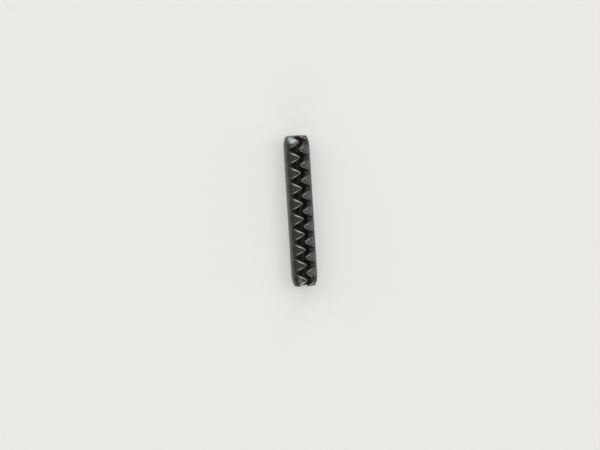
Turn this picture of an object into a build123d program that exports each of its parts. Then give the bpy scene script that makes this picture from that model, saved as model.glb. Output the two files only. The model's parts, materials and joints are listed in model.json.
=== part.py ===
from build123d import *
from build123d.topology import SkipClean
import os
from math import ceil, cos, radians, sin, tan

# Driving sizes in millimetres, with the pin free, before it is pressed into its hole.
# The pin lies along Y with its middle at the origin, and its slot opens upwards, to +Z.
pin_length = 12.0
outside_diameter = 2.1
wall_thickness = 0.4

# The toothed edges of the strip, measured round the outside of the rolled pin
slot_width = 0.96  # from a point on one edge round to the same point on the other
tooth_pitch = 1.222
tooth_angle = 43.0  # between the two flanks of a tooth, in degrees
tooth_rounding = 0.16  # radius of the tips and of the roots
edge_bevel = 0.07  # width of the broken outer edge along the slot

# The ends, drawn in all round so that the pin finds its hole
lead_length = 1.15  # from the end of the plain wall to the end of the pin
crown_length = 0.4  # the first, gentle stretch of the lead-in
crown_drop = 0.01
end_diameter = 1.64
end_rounding = 0.1
bore_lead_length = 0.7
bore_closing = 0.13  # how far the inside of the wall has moved in at the end
bore_bevel = 0.05

# Worked out from the sizes above
outer_radius = outside_diameter / 2
bore_radius = outer_radius - wall_thickness
half_length = pin_length / 2
half_pitch = tooth_pitch / 2
flank_angle = radians(tooth_angle / 2)
flank_reach = half_pitch / tan(flank_angle)  # between the sharp corners of a flank, round the pin

# The cutter of the slot passes the wall by this much of its own, and past the two ends of the pin.
cutter_margin = 0.02
half_waves = ceil(half_length / half_pitch) + 1
smallest_rounding = 0.01

# The ring is turned from a line just above the roots of the left-hand teeth,
# so that the plain wall and each of those teeth have outer faces of their own.
seam_angle = -50.0


def toothed_edge(side, inset):
    """One edge of the slot before rolling, with X round the outside of the pin and Y along it.

    Side is -1 for the left-hand teeth and 1 for the right-hand ones, which stand half a pitch
    further on. Inset moves the edge back into the teeth, square to their flanks.
    """
    middle = side * (slot_width / 2 + inset / sin(flank_angle))
    tip_rounding = max(tooth_rounding - inset, smallest_rounding)
    root_rounding = tooth_rounding + inset
    corners = []
    roundings = []
    for count in range(-half_waves, half_waves + 1):
        swing = 1 if count % 2 else -1
        corners.append((middle + swing * flank_reach / 2, count * half_pitch))
        roundings.append(root_rounding if swing == side else tip_rounding)
    with BuildLine() as edge:
        FilletPolyline(corners, radius=roundings[1:-1])
    return edge.edges().sort_by(Axis.Y)


def rolled(flat_edge, radius):
    """An edge of the flat strip as it lies on a cylinder of this radius once the strip is rolled."""
    points = []
    tangents = []
    for step in (0, 0.25, 0.5, 0.75, 1):
        place = flat_edge @ step
        along = flat_edge % step
        turn = place.X / outer_radius
        round_axis = along.X * radius / outer_radius
        points.append((radius * sin(turn), place.Y, radius * cos(turn)))
        tangents.append(Vector(round_axis * cos(turn), along.Y, -round_axis * sin(turn)))
    return Edge.make_spline(points, tangents=[tangents[0], tangents[-1]])


# The slot, as a solid to cut away: its walls stand square to the wall of the pin.
# Each entry is a side, an inset and a radius, in the order that goes round the slot's section.
in_bore = bore_radius / 2
under_bevel = outer_radius - edge_bevel
past_skin = outer_radius + cutter_margin
clear_of_pin = outer_radius * 1.5
past_bevel = edge_bevel + cutter_margin
slot_section = [
    (-1, 0, in_bore),
    (-1, 0, under_bevel),
    (-1, past_bevel, past_skin),
    (-1, past_bevel, clear_of_pin),
    (1, past_bevel, clear_of_pin),
    (1, past_bevel, past_skin),
    (1, 0, under_bevel),
    (1, 0, in_bore),
]
rails = []
for side, inset, radius in slot_section:
    rails.append([rolled(edge, radius) for edge in toothed_edge(side, inset)])
slot_faces = []
for rail, next_rail in zip(rails, rails[1:] + rails[:1]):
    for edge, next_edge in zip(rail, next_rail):
        slot_faces.append(Face.make_surface_from_curves(edge, next_edge))
slot_faces.append(Face(Wire.make_polygon([rail[0] @ 0 for rail in rails])))
slot_faces.append(Face(Wire.make_polygon([rail[-1] @ 1 for rail in rails])))
slot_cutter = Solid(Shell(slot_faces))

# The pin: a ring turned about Y, opened along its length by the slot
with BuildPart() as spring_pin:
    with BuildSketch(Plane.ZY.rotated((0, seam_angle, 0))) as wall_section:
        with BuildLine():
            plain_end = half_length - lead_length
            crown_end = (outer_radius - crown_drop, plain_end + crown_length)
            skin = Line((outer_radius, 0), (outer_radius, plain_end))
            crown = TangentArc(skin @ 1, crown_end, tangent=skin % 1)
            nose = TangentArc(crown @ 1, (end_diameter / 2, half_length), tangent=crown % 1)
            Polyline(
                nose @ 1,
                (bore_radius - bore_closing, half_length),
                (bore_radius, half_length - bore_lead_length),
                (bore_radius, 0),
                skin @ 0,
            )
        make_face()
        end_corners = wall_section.vertices().group_by(Axis.Y)[-1].sort_by(Axis.X)
        chamfer(end_corners[0], bore_bevel)
        fillet(end_corners[-1], end_rounding)
        mirror(about=Plane.XZ)
    revolve(axis=Axis.Y)
    with SkipClean():  # the faces on the two sides of the seam stay apart
        add(slot_cutter, mode=Mode.SUBTRACT)

spring_pin.part.label = "spring_pin"
os.makedirs("parts", exist_ok=True)
export_step(spring_pin.part, "parts/spring_pin.step")
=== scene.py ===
import json
from math import asin, atan, ceil, cos, pi, radians, sin, tan

import bpy
import numpy as np
from mathutils import Matrix, Vector, noise


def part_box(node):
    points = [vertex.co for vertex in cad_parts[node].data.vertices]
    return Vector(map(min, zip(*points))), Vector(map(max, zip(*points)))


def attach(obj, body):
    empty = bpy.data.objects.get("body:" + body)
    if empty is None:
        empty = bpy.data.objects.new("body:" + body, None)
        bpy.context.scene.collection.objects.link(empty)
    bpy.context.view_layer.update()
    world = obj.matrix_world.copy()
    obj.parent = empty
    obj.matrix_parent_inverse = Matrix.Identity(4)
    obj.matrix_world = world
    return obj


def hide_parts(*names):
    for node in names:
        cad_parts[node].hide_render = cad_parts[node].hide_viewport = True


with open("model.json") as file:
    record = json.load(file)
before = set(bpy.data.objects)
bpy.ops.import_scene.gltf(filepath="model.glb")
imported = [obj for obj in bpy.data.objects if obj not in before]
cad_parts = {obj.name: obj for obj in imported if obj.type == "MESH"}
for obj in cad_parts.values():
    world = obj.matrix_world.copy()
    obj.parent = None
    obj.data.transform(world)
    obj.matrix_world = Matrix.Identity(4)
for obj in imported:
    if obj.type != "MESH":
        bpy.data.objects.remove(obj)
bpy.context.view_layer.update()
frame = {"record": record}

# Lengths below are in millimetres. The mesh, the floor and the camera are made in metres.
MM = 0.001

# The pin as the frame has it: along Y, its middle at the origin, its slot open to +Z
pin_low, pin_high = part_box("spring_pin")
shank = next(mount for mount in frame["record"]["mounts"] if mount["name"] == "shank")
half_length = pin_high.y / MM
outer_radius = shank["dims"]["r_mm"]
skin_radius = min(-pin_low.x, pin_high.x, -pin_low.z) / MM
wall_thickness = 0.4
bore_radius = outer_radius - wall_thickness
whole_turn = 2 * pi * outer_radius

# The toothed edges, measured round the outside of the rolled pin
slot_width = 0.96
tooth_pitch = 1.222
tooth_angle = 43.0
tooth_rounding = 0.16
sharpest_tip = 0.01
half_pitch = tooth_pitch / 2
flank_angle = radians(tooth_angle / 2)
flank_reach = half_pitch / tan(flank_angle)  # between the sharp corners of a flank
edge_wander = 0.012  # how far the blanked edges stray from a perfect wave
edge_wander_size = tooth_rounding * 2
edge_wander_seed = 7

# How round the edges of the strip are, and how bare they are rubbed
outer_edge_rounding = 0.13
inner_edge_rounding = 0.035
root_share = 0.1  # the rounding in the roots, where nothing rubs, of the rounding at the tips
rim_rise = 3.0  # how fast an edge passes from the state of its roots to that of its tips
rim_delay = 0.65
left_rub = 0.95
right_rub = 0.45
end_rub = 0.4
inner_end_rub = 1.0
end_tooth = 0.45  # nearer than this to an end, which cuts a tooth off, the right-hand edge is bare

# The toothed margins bend in a little more than the wall. The angles go round the pin from the
# middle of the slot: where the bend starts at a tooth, where it starts at a root, and its end.
tooth_bend_from = radians(71)
root_bend_from = radians(61)
bend_to = radians(46)
margin_set_in = 0.068

# The drawn-in ends
lead_length = 1.15
crown_length = 0.4
crown_drop = 0.01
end_radius = 0.82
end_rounding = 0.09
inner_end_rounding = 0.1
bore_lead_length = 0.7
bore_closing = 0.13
bore_lead_power = 1.5

# The worn patch of each nose, on the side of the left-hand teeth
nose_length = 0.75
nose_fade = 0.35
nose_middle = radians(30)  # round the pin from the middle of the slot
nose_core = radians(17)  # the patch is full to this far from its middle, and gone at twice that
upper_nose_wear = 0.9
lower_nose_wear = 0.6

# The skin is a little uneven from rolling and tumbling: long swells and a few small dents
skin_swell = 0.005
skin_swell_size = 0.9
skin_swell_seed = 3
dent_depth = 0.004
dent_size = 0.16
dent_seed = 11
dent_threshold = 0.25  # only noise above this makes a dent

# How finely the mesh is divided
tip_steps = 12
flank_steps = 6
end_steps = 7
end_clearance = 1.1  # the rows of the teeth stop at this many roundings from the end
rounding_steps = 6
tooth_columns = 11
body_columns = 48
wall_steps = 4
straight_column = 1.3  # round the pin from the middle of the slot, past the roots of the teeth

# The black oxide: its colours from purple and teal to olive, each with its place in the clouds,
# and by how much of that range the colour is shifted towards blue for each millimetre towards +X,
# the right-hand side
oxide_stops = [
    (0.3, (0.096, 0.086, 0.104)),
    (0.37, (0.066, 0.096, 0.102)),
    (0.46, (0.084, 0.091, 0.093)),
    (0.56, (0.088, 0.092, 0.084)),
    (0.68, (0.099, 0.095, 0.078)),
]
blue_shift_towards_x = 0.1
streak_colour = (0.06, 0.065, 0.066)
streak_share = 0.35
streak_spread = (0.35, 0.7)  # the streaks grow to that share over this range of their noise
cut_colour = (0.05, 0.048, 0.045)
# The bore's colour: partly its duller inside steel and partly painted shade for the dim inside of
# the pin. The walls of the slot and the ends fade to it towards the bore, which is painted shade.
bore_and_shade_colour = (0.045, 0.045, 0.04)
bare_colour = (0.5, 0.5, 0.49)
rub_spread = (0.3, 0.62)  # over this range of the grain, the rubbing shows by this share
rub_share = (0.55, 1)
skin_share = 0.25  # how deep in the wall the look of the skin ends, as a share of the wall
painted_shade_start = 0.45  # how deep in the wall the painted shade begins, where the cut walls and the ends start to darken to the bore's colour
skin_metal = 0.93
cut_metal_loss = 0.85
noise_spread = (0.3, 0.7)  # the range of a noise that changes how rough the metal is
skin_roughness = (0.12, 0.24)
streak_roughness = (-0.03, 0.04)
cut_roughness = 0.25
coat_weight = 0.35
coat_roughness = 0.12
grain_height = 0.004
grain_strength = 0.5

# The pale surface under the pin, lit a little from within, as a light table is
paper_colour = (0.86, 0.835, 0.84)
paper_glow = (0.31, 0.304, 0.3)
paper_roughness = 0.9
floor_reach = 600.0

# The picture is 600 by 450 pixels. The pin's middle lies here in it, at this scale.
picture_width = 600
picture_height = 450
pin_middle_x = 300.34
pin_middle_y = 210.9
pixels_per_mm = 12.58
pin_lean = radians(3.52)  # the top of the pin lies to the left
camera_round_pin = radians(13.5)  # from straight over the slot towards -X
camera_up_pin = radians(3.5)  # and towards +Y
sensor_width = 36.0
lens = 180.0
nearest_seen = 10.0
farthest_seen = 10000.0

# The windows of the studio: a name, then the way to it towards the right, the top and the camera
# as the picture has them, how far it reaches in degrees from its middle, its strength and its tint
daylight = (1, 1, 0.95)
warm_light = (1, 1, 0.8)
cool_light = (0.88, 1, 1.03)
windows = [
    ("right", (1, 0, 0.1), 22, 0.9, daylight),
    ("right above", (0.8, 0, 0.6), 22, 0.4, daylight),
    ("top right", (0.7, 0.35, 0.65), 22, 1, daylight),
    ("bottom right", (0.7, -0.4, 0.6), 22, 0.35, daylight),
    ("low top", (0.3, 0.9, 0.3), 22, 1, daylight),
    ("top", (0.15, 0.8, 0.6), 22, 1.2, daylight),
    ("top left", (-0.25, 0.7, 0.7), 22, 0.55, daylight),
    ("above left", (-0.3, 0.35, 0.9), 22, 0.8, daylight),
    ("above", (-0.15, -0.2, 0.95), 22, 0.3, warm_light),
    ("above right", (0.3, 0.1, 0.95), 20, 0.65, daylight),
    ("left", (-0.45, -0.05, 0.9), 22, 0.18, warm_light),
    ("low left", (-0.8, -0.05, 0.55), 21, 0.3, warm_light),
    ("bottom left", (-0.6, -0.45, 0.65), 20, 0.55, daylight),
    ("low bottom", (-0.1, -0.95, 0.35), 22, 1.4, daylight),
    ("low bottom right", (0.3, -0.95, 0.25), 22, 0.8, daylight),
    ("lamp", (-0.65, 0.45, 0.6), 26, 1.4, cool_light),
]
window_core = 0.4  # the share of a window's reach where it is at full strength
room_colour = (0.08, 0.08, 0.078)


def wavering(place, size, seed):
    """Smooth noise from -1 to 1 at a point, in lumps of this size."""
    return noise.noise(Vector(place) / size + Vector((seed, 0, 0)))


def smoothed(share):
    """A share from 0 to 1, made level at both ends and steepest halfway."""
    return share**2 * (3 - 2 * share)


def bend_shape(share):
    """A share from 0 to 1, made level at both ends and steepest a third of the way."""
    return share**2 * (6 - 8 * share + 3 * share**2)


def toothed_edge(along, side, inset):
    """Where an edge of the slot runs, round the outside of the pin, at these places along it.

    Side is -1 for the left-hand teeth and 1 for the right-hand ones. Inset moves the edge back
    into the metal, square to its own line.
    """
    corner = np.round(along / half_pitch)
    swing = np.where(corner % 2 == 1, 1, -1)
    away = np.abs(along - corner * half_pitch)
    tip_rounding = np.maximum(tooth_rounding - inset, sharpest_tip)
    rounding = np.where(swing == side, tooth_rounding + inset, tip_rounding)
    straight = flank_reach / 2 - away / tan(flank_angle)
    arc = np.sqrt(np.maximum(rounding**2 - away**2, 0))
    rounded = flank_reach / 2 - rounding / sin(flank_angle) + arc
    wave = swing * np.where(away < rounding * cos(flank_angle), rounded, straight)
    middle = side * (slot_width / 2 + inset / sin(flank_angle))
    stray = [wavering((0, y, side), edge_wander_size, edge_wander_seed) for y in along]
    return middle + edge_wander * np.array(stray) + wave


def tip_share(along, side):
    """From 0 in the roots of an edge of the slot to 1 at its tips."""
    off_middle = toothed_edge(along, side, 0) - side * slot_width / 2
    out_of_root = 0.5 - side * off_middle / flank_reach
    return np.clip(rim_rise * out_of_root - rim_delay, 0, 1)


def nose_wear(along, places):
    """How bare the skin is in the worn patch of each nose."""
    wear = np.where(along > 0, upper_nose_wear, lower_nose_wear)
    into_nose = np.clip((np.abs(along) - half_length + nose_length) / nose_fade, 0, 1)
    off_middle = np.abs((whole_turn - places) / outer_radius - nose_middle)
    return (wear * smoothed(into_nose))[:, None] * np.clip(2 - off_middle / nose_core, 0, 1)


def tangent_arc(start, slope, end):
    """Centre and radius of the arc that leaves start downwards at this slope and passes end."""
    chord_angle = atan((start[1] - end[1]) / (end[0] - start[0]))
    chord = np.hypot(end[0] - start[0], end[1] - start[1])
    radius = chord / 2 / sin(chord_angle - slope)
    return (start[0] - radius * sin(slope), start[1] - radius * cos(slope)), radius


def outside_profile(along):
    """Radius of the skin along the pin: plain, then a gentle crown, then the rounded nose."""
    crown_start = (half_length - lead_length, skin_radius)
    crown_end = (crown_start[0] + crown_length, skin_radius - crown_drop)
    nose_end = (half_length, end_radius)
    (crown_y, crown_r), crown_radius = tangent_arc(crown_start, 0, crown_end)
    crown_slope = asin((crown_end[0] - crown_y) / crown_radius)
    (nose_y, nose_r), nose_radius = tangent_arc(crown_end, crown_slope, nose_end)
    out = np.abs(along)
    crown = crown_r + np.sqrt(np.maximum(crown_radius**2 - (out - crown_y) ** 2, 0))
    nose = nose_r + np.sqrt(np.maximum(nose_radius**2 - (out - nose_y) ** 2, 0))
    rounded = np.where(out < crown_end[0], crown, nose)
    return np.where(out < crown_start[0], skin_radius, rounded)


def inside_profile(along):
    """Radius of the bore along the pin, closing a little at the ends."""
    into_lead = np.maximum(np.abs(along) - half_length + bore_lead_length, 0) / bore_lead_length
    return bore_radius - bore_closing * into_lead**bore_lead_power


def row_places():
    """Places along the pin for the rows of the mesh, closest where the teeth and the ends curve."""
    turn = pi / 2 - flank_angle
    tip = tooth_rounding * np.sin(np.linspace(-turn, turn, tip_steps + 1))
    flank = np.linspace(tip[-1], half_pitch - tip[-1], flank_steps + 1)[1:-1]
    one_corner = np.concatenate([tip, flank])
    corners = ceil(half_length / half_pitch)
    places = [count * half_pitch + one_corner for count in range(-corners, corners + 1)]
    places = np.concatenate(places)
    places = places[np.abs(places) < half_length - end_rounding * end_clearance]
    end = half_length - end_rounding * (1 - np.sin(np.linspace(0, pi / 2, end_steps + 1)))
    return np.sort(np.concatenate([-end, places, end]))


def rounded_edge(along, side, edge_rounding):
    """An edge of the slot, from its wall to the face: places round the pin, depths, bareness."""
    turns = np.linspace(0, pi / 2, rounding_steps + 1)
    tips = tip_share(along, side)
    rounding = edge_rounding * (root_share + (1 - root_share) * tips)
    places = [toothed_edge(along, side, rounding * (1 - cos(turn))) for turn in turns]
    rub = left_rub * tips
    if side == 1:
        rub = np.where(np.abs(along) > half_length - end_tooth, 1, right_rub * tips)
    depths = rounding[:, None] * (1 - np.sin(turns))
    return np.stack(places, axis=1), depths, rub[:, None] * np.sin(2 * turns)


def strip_face(along, edge_rounding, corner_rounding, corner_rub):
    """One face of the strip: places round the pin, depths under the face, and bareness."""
    right_edge, right_depths, right_bare = rounded_edge(along, 1, edge_rounding)
    left_parts = rounded_edge(along, -1, edge_rounding)
    left_edge, left_depths, left_bare = (part[:, ::-1] for part in left_parts)
    left_edge = left_edge + whole_turn
    first = np.full((len(along), 1), straight_column)
    last = np.full((len(along), 1), whole_turn - straight_column)
    tooth_shares = np.arange(1, tooth_columns + 1) / tooth_columns
    body_shares = np.arange(1, body_columns) / body_columns
    right_teeth = right_edge[:, -1:] + tooth_shares * (first - right_edge[:, -1:])
    body = first + body_shares * (last - first)
    left_teeth = left_edge[:, :1] + tooth_shares[::-1] * (last - left_edge[:, :1])
    places = np.concatenate([right_edge, right_teeth, body, left_teeth, left_edge], axis=1)

    plain = np.zeros((len(along), 2 * len(tooth_shares) + len(body_shares)))
    edge_depths = np.concatenate([right_depths, plain, left_depths], axis=1)
    edge_bare = np.concatenate([right_bare, plain, left_bare], axis=1)
    past = np.clip(np.abs(along) - half_length + corner_rounding, 0, corner_rounding)
    end_depths = corner_rounding - np.sqrt(corner_rounding**2 - past**2)
    end_bare = corner_rub * np.sin(2 * np.arcsin(past / corner_rounding))
    depths = np.hypot(edge_depths, end_depths[:, None])
    return places, depths, np.maximum(edge_bare, end_bare[:, None])


def margin_bend(along, angle):
    """How far the toothed margins have bent in, at these places along the pin and round it."""
    towards_tips = np.where(angle < pi, 1, -1) * np.cos(pi * along / half_pitch)[None, :, None]
    bend_from = root_bend_from + (tooth_bend_from - root_bend_from) * (1 + towards_tips) / 2
    from_slot = np.minimum(angle, 2 * pi - angle)
    bent = np.clip((bend_from - from_slot) / (bend_from - bend_to), 0, 1)
    return margin_set_in * bend_shape(bent)


def pin_layers():
    """The points of the pin, from the skin to the bore, with the layer and bareness of each."""
    along = row_places()
    outer = strip_face(along, outer_edge_rounding, end_rounding, end_rub)
    inner = strip_face(along, inner_edge_rounding, inner_end_rounding, inner_end_rub)
    outer_places, outer_depths, outer_bare = outer
    inner_places, inner_depths, inner_bare = inner
    outer_bare = np.maximum(outer_bare, nose_wear(along, outer_places))
    layer = np.linspace(0, 1, wall_steps + 1)[:, None, None]
    places = outer_places * (1 - layer) + inner_places * layer
    depths = outer_depths * (1 - layer) + (wall_thickness - inner_depths) * layer
    bare = outer_bare * (layer == 0) + inner_bare * (layer == 1)

    outside = outside_profile(along)[None, :, None]
    inside = inside_profile(along)[None, :, None]
    angle = places / outer_radius
    radius = outside - depths / wall_thickness * (outside - inside) - margin_bend(along, angle)
    y = np.broadcast_to(along[None, :, None], radius.shape)
    points = np.stack([radius * np.sin(angle), y, radius * np.cos(angle)], axis=-1)
    return points, np.broadcast_to(layer, radius.shape), bare


def grid_quads(grid, flip):
    """The faces of a grid of vertex numbers."""
    corners = [grid[:-1, :-1], grid[1:, :-1], grid[1:, 1:], grid[:-1, 1:]]
    return np.stack(corners[::-1] if flip else corners, axis=-1).reshape(-1, 4)


def block_quads(number):
    """The faces all round a block of vertex numbers: skin, bore, slot walls and ends."""
    return np.concatenate([
        grid_quads(number[0], False),
        grid_quads(number[-1], True),
        grid_quads(number[:, :, 0], False),
        grid_quads(number[:, :, -1], True),
        grid_quads(number[:, 0, :], True),
        grid_quads(number[:, -1, :], False),
    ])


def make_uneven(points):
    """Swells and dents, which only take the wall inwards, so that the pin keeps its own size."""
    for point in points:
        swell = 1 + wavering(point, skin_swell_size, skin_swell_seed)
        dent = max(wavering(point, dent_size, dent_seed) - dent_threshold, 0)
        inwards = (skin_swell * swell / 2 + dent_depth * dent) / skin_radius
        point[0] *= 1 - inwards
        point[2] *= 1 - inwards


def make_pin():
    """The whole pin as one closed mesh."""
    points, layer, bare = pin_layers()
    number = np.arange(layer.size).reshape(layer.shape)
    used, faces = np.unique(block_quads(number), return_inverse=True)
    points = points.reshape(-1, 3)[used]
    make_uneven(points)

    mesh = bpy.data.meshes.new("pin")
    mesh.from_pydata((points * MM).tolist(), [], faces.reshape(-1, 4).tolist())
    mesh.update()
    mesh.shade_smooth()
    for name, values in (("bare", bare), ("layer", layer)):
        values = values.reshape(-1)[used].astype(np.float32)
        mesh.attributes.new(name, "FLOAT", "POINT").data.foreach_set("value", values)
    pin = bpy.data.objects.new("pin", mesh)
    bpy.context.scene.collection.objects.link(pin)
    return pin


def set_values(node, values):
    """Constant values on a node's sockets."""
    for name, value in values.items():
        node.inputs[name].default_value = value


def add_node(tree, kind, values=None, **settings):
    """A shader node with the given settings, and constant values on its sockets."""
    node = tree.nodes.new("ShaderNode" + kind)
    for name, value in settings.items():
        setattr(node, name, value)
    set_values(node, values or {})
    return node


def noise_at(tree, coordinates, stretch, scale, detail):
    """Noise that is scale lumps to the millimetre, stretched along the pin by this factor."""
    mapping = add_node(tree, "Mapping", {"Scale": (1 / MM, 1 / MM / stretch, 1 / MM)})
    lumps = add_node(tree, "TexNoise", {"Scale": scale, "Detail": detail, "Roughness": 0.6})
    tree.links.new(coordinates, mapping.inputs["Vector"])
    tree.links.new(mapping.outputs["Vector"], lumps.inputs["Vector"])
    return lumps.outputs["Fac"]


def ramp(tree, source, stops):
    """Colours by the value of a source, from stops of a position and a colour."""
    node = add_node(tree, "ValToRGB")
    elements = node.color_ramp.elements
    for element, (position, colour) in zip(elements, (stops[0], stops[-1])):
        element.position = position
        element.color = (*colour, 1)
    for position, colour in stops[1:-1]:
        elements.new(position).color = (*colour, 1)
    tree.links.new(source, node.inputs["Fac"])
    return node.outputs["Color"]


def remap(tree, source, old_range, new_range, kind="LINEAR"):
    """A value moved from one range to another, and held inside it."""
    ends = ("From Min", "From Max", "To Min", "To Max")
    values = dict(zip(ends, (*old_range, *new_range)))
    node = add_node(tree, "MapRange", values, interpolation_type=kind)
    tree.links.new(source, node.inputs["Value"])
    return node.outputs["Result"]


def combine(tree, operation, first, second):
    """Two values put together by arithmetic."""
    node = add_node(tree, "Math", operation=operation)
    for socket, value in zip(node.inputs, (first, second)):
        if isinstance(value, (int, float)):
            socket.default_value = value
        else:
            tree.links.new(value, socket)
    return node.outputs["Value"]


def mix_colour(tree, share, first, second):
    """The first colour where share is 0, and the second where it is 1."""
    node = add_node(tree, "Mix", data_type="RGBA")
    tree.links.new(share, node.inputs["Factor"])
    for name, colour in (("A", first), ("B", second)):
        socket = next(s for s in node.inputs if s.name == name and s.type == "RGBA")
        if isinstance(colour, tuple):
            socket.default_value = (*colour, 1)
        else:
            tree.links.new(colour, socket)
    return next(s for s in node.outputs if s.type == "RGBA")


def black_steel():
    """Black oxide on spring steel, dull where the strip was cut and bare where it is rubbed, with
    painted shade in the bore and deep in the slot.
    """
    material = bpy.data.materials.new("black_steel")
    material.use_nodes = True
    tree = material.node_tree
    shader = tree.nodes["Principled BSDF"]
    place = add_node(tree, "TexCoord").outputs["Object"]
    cloud = noise_at(tree, place, stretch=1.6, scale=0.9, detail=3)
    drawn = noise_at(tree, place, stretch=9.0, scale=11.0, detail=3)
    grain = noise_at(tree, place, stretch=1.0, scale=26.0, detail=4)

    # The skin: oxide with darker streaks along the pin
    across = add_node(tree, "SeparateXYZ")
    tree.links.new(place, across.inputs["Vector"])
    bluer = combine(tree, "MULTIPLY", across.outputs["X"], -blue_shift_towards_x / MM)
    oxide = ramp(tree, combine(tree, "ADD", cloud, bluer), oxide_stops)
    streaks = remap(tree, drawn, streak_spread, (0, streak_share))
    skin = mix_colour(tree, streaks, oxide, streak_colour)

    # The cut walls and the bore, by how deep in the wall a point is. Deeper in, the walls and the
    # ends fade to the bore's colour, which is painted shade.
    layer = add_node(tree, "Attribute", attribute_name="layer").outputs["Fac"]
    bore_and_shade_share = remap(tree, layer, (painted_shade_start, 1), (0, 1))
    off_skin = remap(tree, layer, (0, skin_share), (0, 1))
    cut = combine(tree, "SUBTRACT", off_skin, bore_and_shade_share)
    colour = mix_colour(tree, cut, skin, cut_colour)
    colour = mix_colour(tree, bore_and_shade_share, colour, bore_and_shade_colour)

    # Bare metal where the pin is rubbed, broken up a little by the grain
    exposed = add_node(tree, "Attribute", attribute_name="bare").outputs["Fac"]
    patchy = remap(tree, grain, rub_spread, rub_share)
    rubbed = combine(tree, "MULTIPLY", exposed, patchy)
    colour = mix_colour(tree, rubbed, colour, bare_colour)
    tree.links.new(colour, shader.inputs["Base Color"])
    still_covered = combine(tree, "SUBTRACT", 1, rubbed)
    dull_share = combine(tree, "MULTIPLY", off_skin, still_covered)
    metal_loss = combine(tree, "MULTIPLY", dull_share, cut_metal_loss)
    metal = combine(tree, "SUBTRACT", skin_metal, metal_loss)
    tree.links.new(metal, shader.inputs["Metallic"])

    # How rough each of these is
    dull = remap(tree, grain, noise_spread, skin_roughness)
    streaky = remap(tree, drawn, noise_spread, streak_roughness)
    rougher = combine(tree, "MULTIPLY", dull_share, cut_roughness)
    dull = combine(tree, "ADD", combine(tree, "ADD", dull, streaky), rougher)
    tree.links.new(dull, shader.inputs["Roughness"])
    set_values(shader, {"Coat Weight": coat_weight, "Coat Roughness": coat_roughness})

    # Grain and streaks, half and half, too fine for the mesh
    half_grain = combine(tree, "MULTIPLY", grain, 0.5)
    half_drawn = combine(tree, "MULTIPLY", drawn, 0.5)
    height = combine(tree, "ADD", half_grain, half_drawn)
    bump = add_node(tree, "Bump", {"Strength": grain_strength, "Distance": grain_height * MM})
    tree.links.new(height, bump.inputs["Height"])
    tree.links.new(bump.outputs["Normal"], shader.inputs["Normal"])
    return material


def pale_paper():
    """The plain pale surface that the pin lies on."""
    material = bpy.data.materials.new("pale_paper")
    material.use_nodes = True
    set_values(material.node_tree.nodes["Principled BSDF"], {
        "Base Color": (*paper_colour, 1),
        "Emission Color": (*paper_glow, 1),
        "Emission Strength": 1,
        "Roughness": paper_roughness,
        "Specular IOR Level": 0,
    })
    return material


def lay_floor():
    """A large plain floor under the pin."""
    reach = floor_reach * MM
    around = ((-reach, -reach), (reach, -reach), (reach, reach), (-reach, reach))
    mesh = bpy.data.meshes.new("floor")
    mesh.from_pydata([(x, y, pin_low.z) for x, y in around], [], [(0, 1, 2, 3)])
    mesh.materials.append(pale_paper())
    floor = bpy.data.objects.new("floor", mesh)
    bpy.context.scene.collection.objects.link(floor)


def aim_camera():
    """The camera at the picture's viewing angle, looking down on the pin."""
    data = bpy.data.cameras.new("camera")
    data.sensor_width = sensor_width
    data.lens = lens
    data.clip_start = nearest_seen * MM
    data.clip_end = farthest_seen * MM
    back = Vector((
        -sin(camera_round_pin) * cos(camera_up_pin),
        sin(camera_up_pin),
        cos(camera_round_pin) * cos(camera_up_pin),
    ))
    pin_up = Vector((0, 1, 0))
    pin_up = (pin_up - pin_up.dot(back) * back).normalized()
    pin_right = pin_up.cross(back)
    up = cos(pin_lean) * pin_up + sin(pin_lean) * pin_right
    right = cos(pin_lean) * pin_right - sin(pin_lean) * pin_up
    aside = (pin_middle_x - picture_width / 2) / pixels_per_mm
    above = (picture_height / 2 - pin_middle_y) / pixels_per_mm
    distance = picture_width * lens / sensor_width / pixels_per_mm
    place = (back * distance - right * aside - up * above) * MM
    turn = Matrix((right, up, back)).transposed().to_4x4()
    camera = bpy.data.objects.new("camera", data)
    camera.matrix_world = Matrix.Translation(place) @ turn
    bpy.context.scene.collection.objects.link(camera)
    bpy.context.scene.camera = camera
    return camera


def light_studio(camera):
    """A dim grey room with soft windows, each brightest in the middle and fading to its edge."""
    world = bpy.data.worlds.new("room")
    world.use_nodes = True
    tree = world.node_tree
    direction = add_node(tree, "TexCoord").outputs["Generated"]
    walls = add_node(tree, "CombineXYZ", dict(zip("XYZ", room_colour)), label="walls")
    total = walls.outputs["Vector"]
    for name, toward, reach, strength, tint in windows:
        axis = (camera.matrix_world.to_3x3() @ Vector(toward)).normalized()
        nearness = add_node(tree, "VectorMath", operation="DOT_PRODUCT")
        tree.links.new(direction, nearness.inputs[0])
        nearness.inputs[1].default_value = axis
        edge_to_core = (cos(radians(reach)), cos(radians(reach * window_core)))
        share = remap(tree, nearness.outputs["Value"], edge_to_core, (0, 1), "SMOOTHSTEP")
        window = add_node(tree, "VectorMath", operation="SCALE", label=name)
        window.inputs[0].default_value = Vector(tint) * strength
        tree.links.new(share, window.inputs["Scale"])
        both = add_node(tree, "VectorMath", operation="ADD")
        tree.links.new(total, both.inputs[0])
        tree.links.new(window.outputs["Vector"], both.inputs[1])
        total = both.outputs["Vector"]
    tree.links.new(total, tree.nodes["Background"].inputs["Color"])
    bpy.context.scene.world = world


bpy.context.scene.view_settings.view_transform = "Standard"
camera = aim_camera()
light_studio(camera)
lay_floor()

pin = make_pin()
pin.data.materials.append(black_steel())
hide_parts("spring_pin")
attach(pin, "root")
